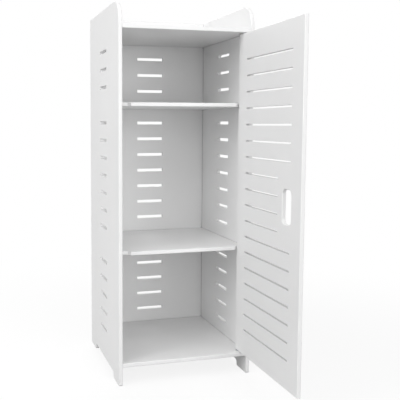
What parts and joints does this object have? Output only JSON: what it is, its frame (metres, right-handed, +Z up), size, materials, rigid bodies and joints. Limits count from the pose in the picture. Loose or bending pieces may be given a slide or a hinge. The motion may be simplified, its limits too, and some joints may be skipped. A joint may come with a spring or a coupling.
{
  "type": "narrow bathroom cabinet",
  "caption": "Tall narrow free-standing cabinet of thin white boards with horizontal slots, a raised rim on three sides of its top, inner shelves and one inset door that swings on end pivots.",
  "frame": {"origin": "on the floor, midway across the cabinet and midway along its whole depth with the door standing open square to the front", "axes": "+Z up, +Y towards the cabinet's back, +X towards the side that the door hangs on"},
  "size_m": [0.296, 0.5494, 0.8],
  "materials": {
    "white_lacquer": "satin white lacquer on fibreboard",
    "nylon": "moulded, matt",
    "steel": "turned, zinc plated",
    "beech": "beech plywood strip, unfinished"
  },
  "bodies": {
    "carcass": {"left_side_panel": "white_lacquer", "right_side_panel": "white_lacquer", "back_panel": "white_lacquer", "top_board": "white_lacquer", "bottom_board": "white_lacquer", "upper_shelf": "white_lacquer", "middle_shelf": "white_lacquer", "upper_frame_bush": "nylon", "lower_frame_bush": "nylon", "top_board_splines": "beech", "bottom_board_splines": "beech", "upper_shelf_splines": "beech", "middle_shelf_splines": "beech", "back_panel_splines": "beech"},
    "door_leaf": {"door": "white_lacquer", "upper_door_bush": "nylon", "lower_door_bush": "nylon", "upper_pivot_pin": "steel", "lower_pivot_pin": "steel", "pivot_washer": "steel"}
  },
  "joints": [
    {"name": "door_swing", "type": "hinge", "parent": "carcass", "child": "door_leaf", "pos_m": [0.128, -0.00865, 0.395], "axis": [0, 0, 1], "range_deg": [-90, 28]}
  ]
}
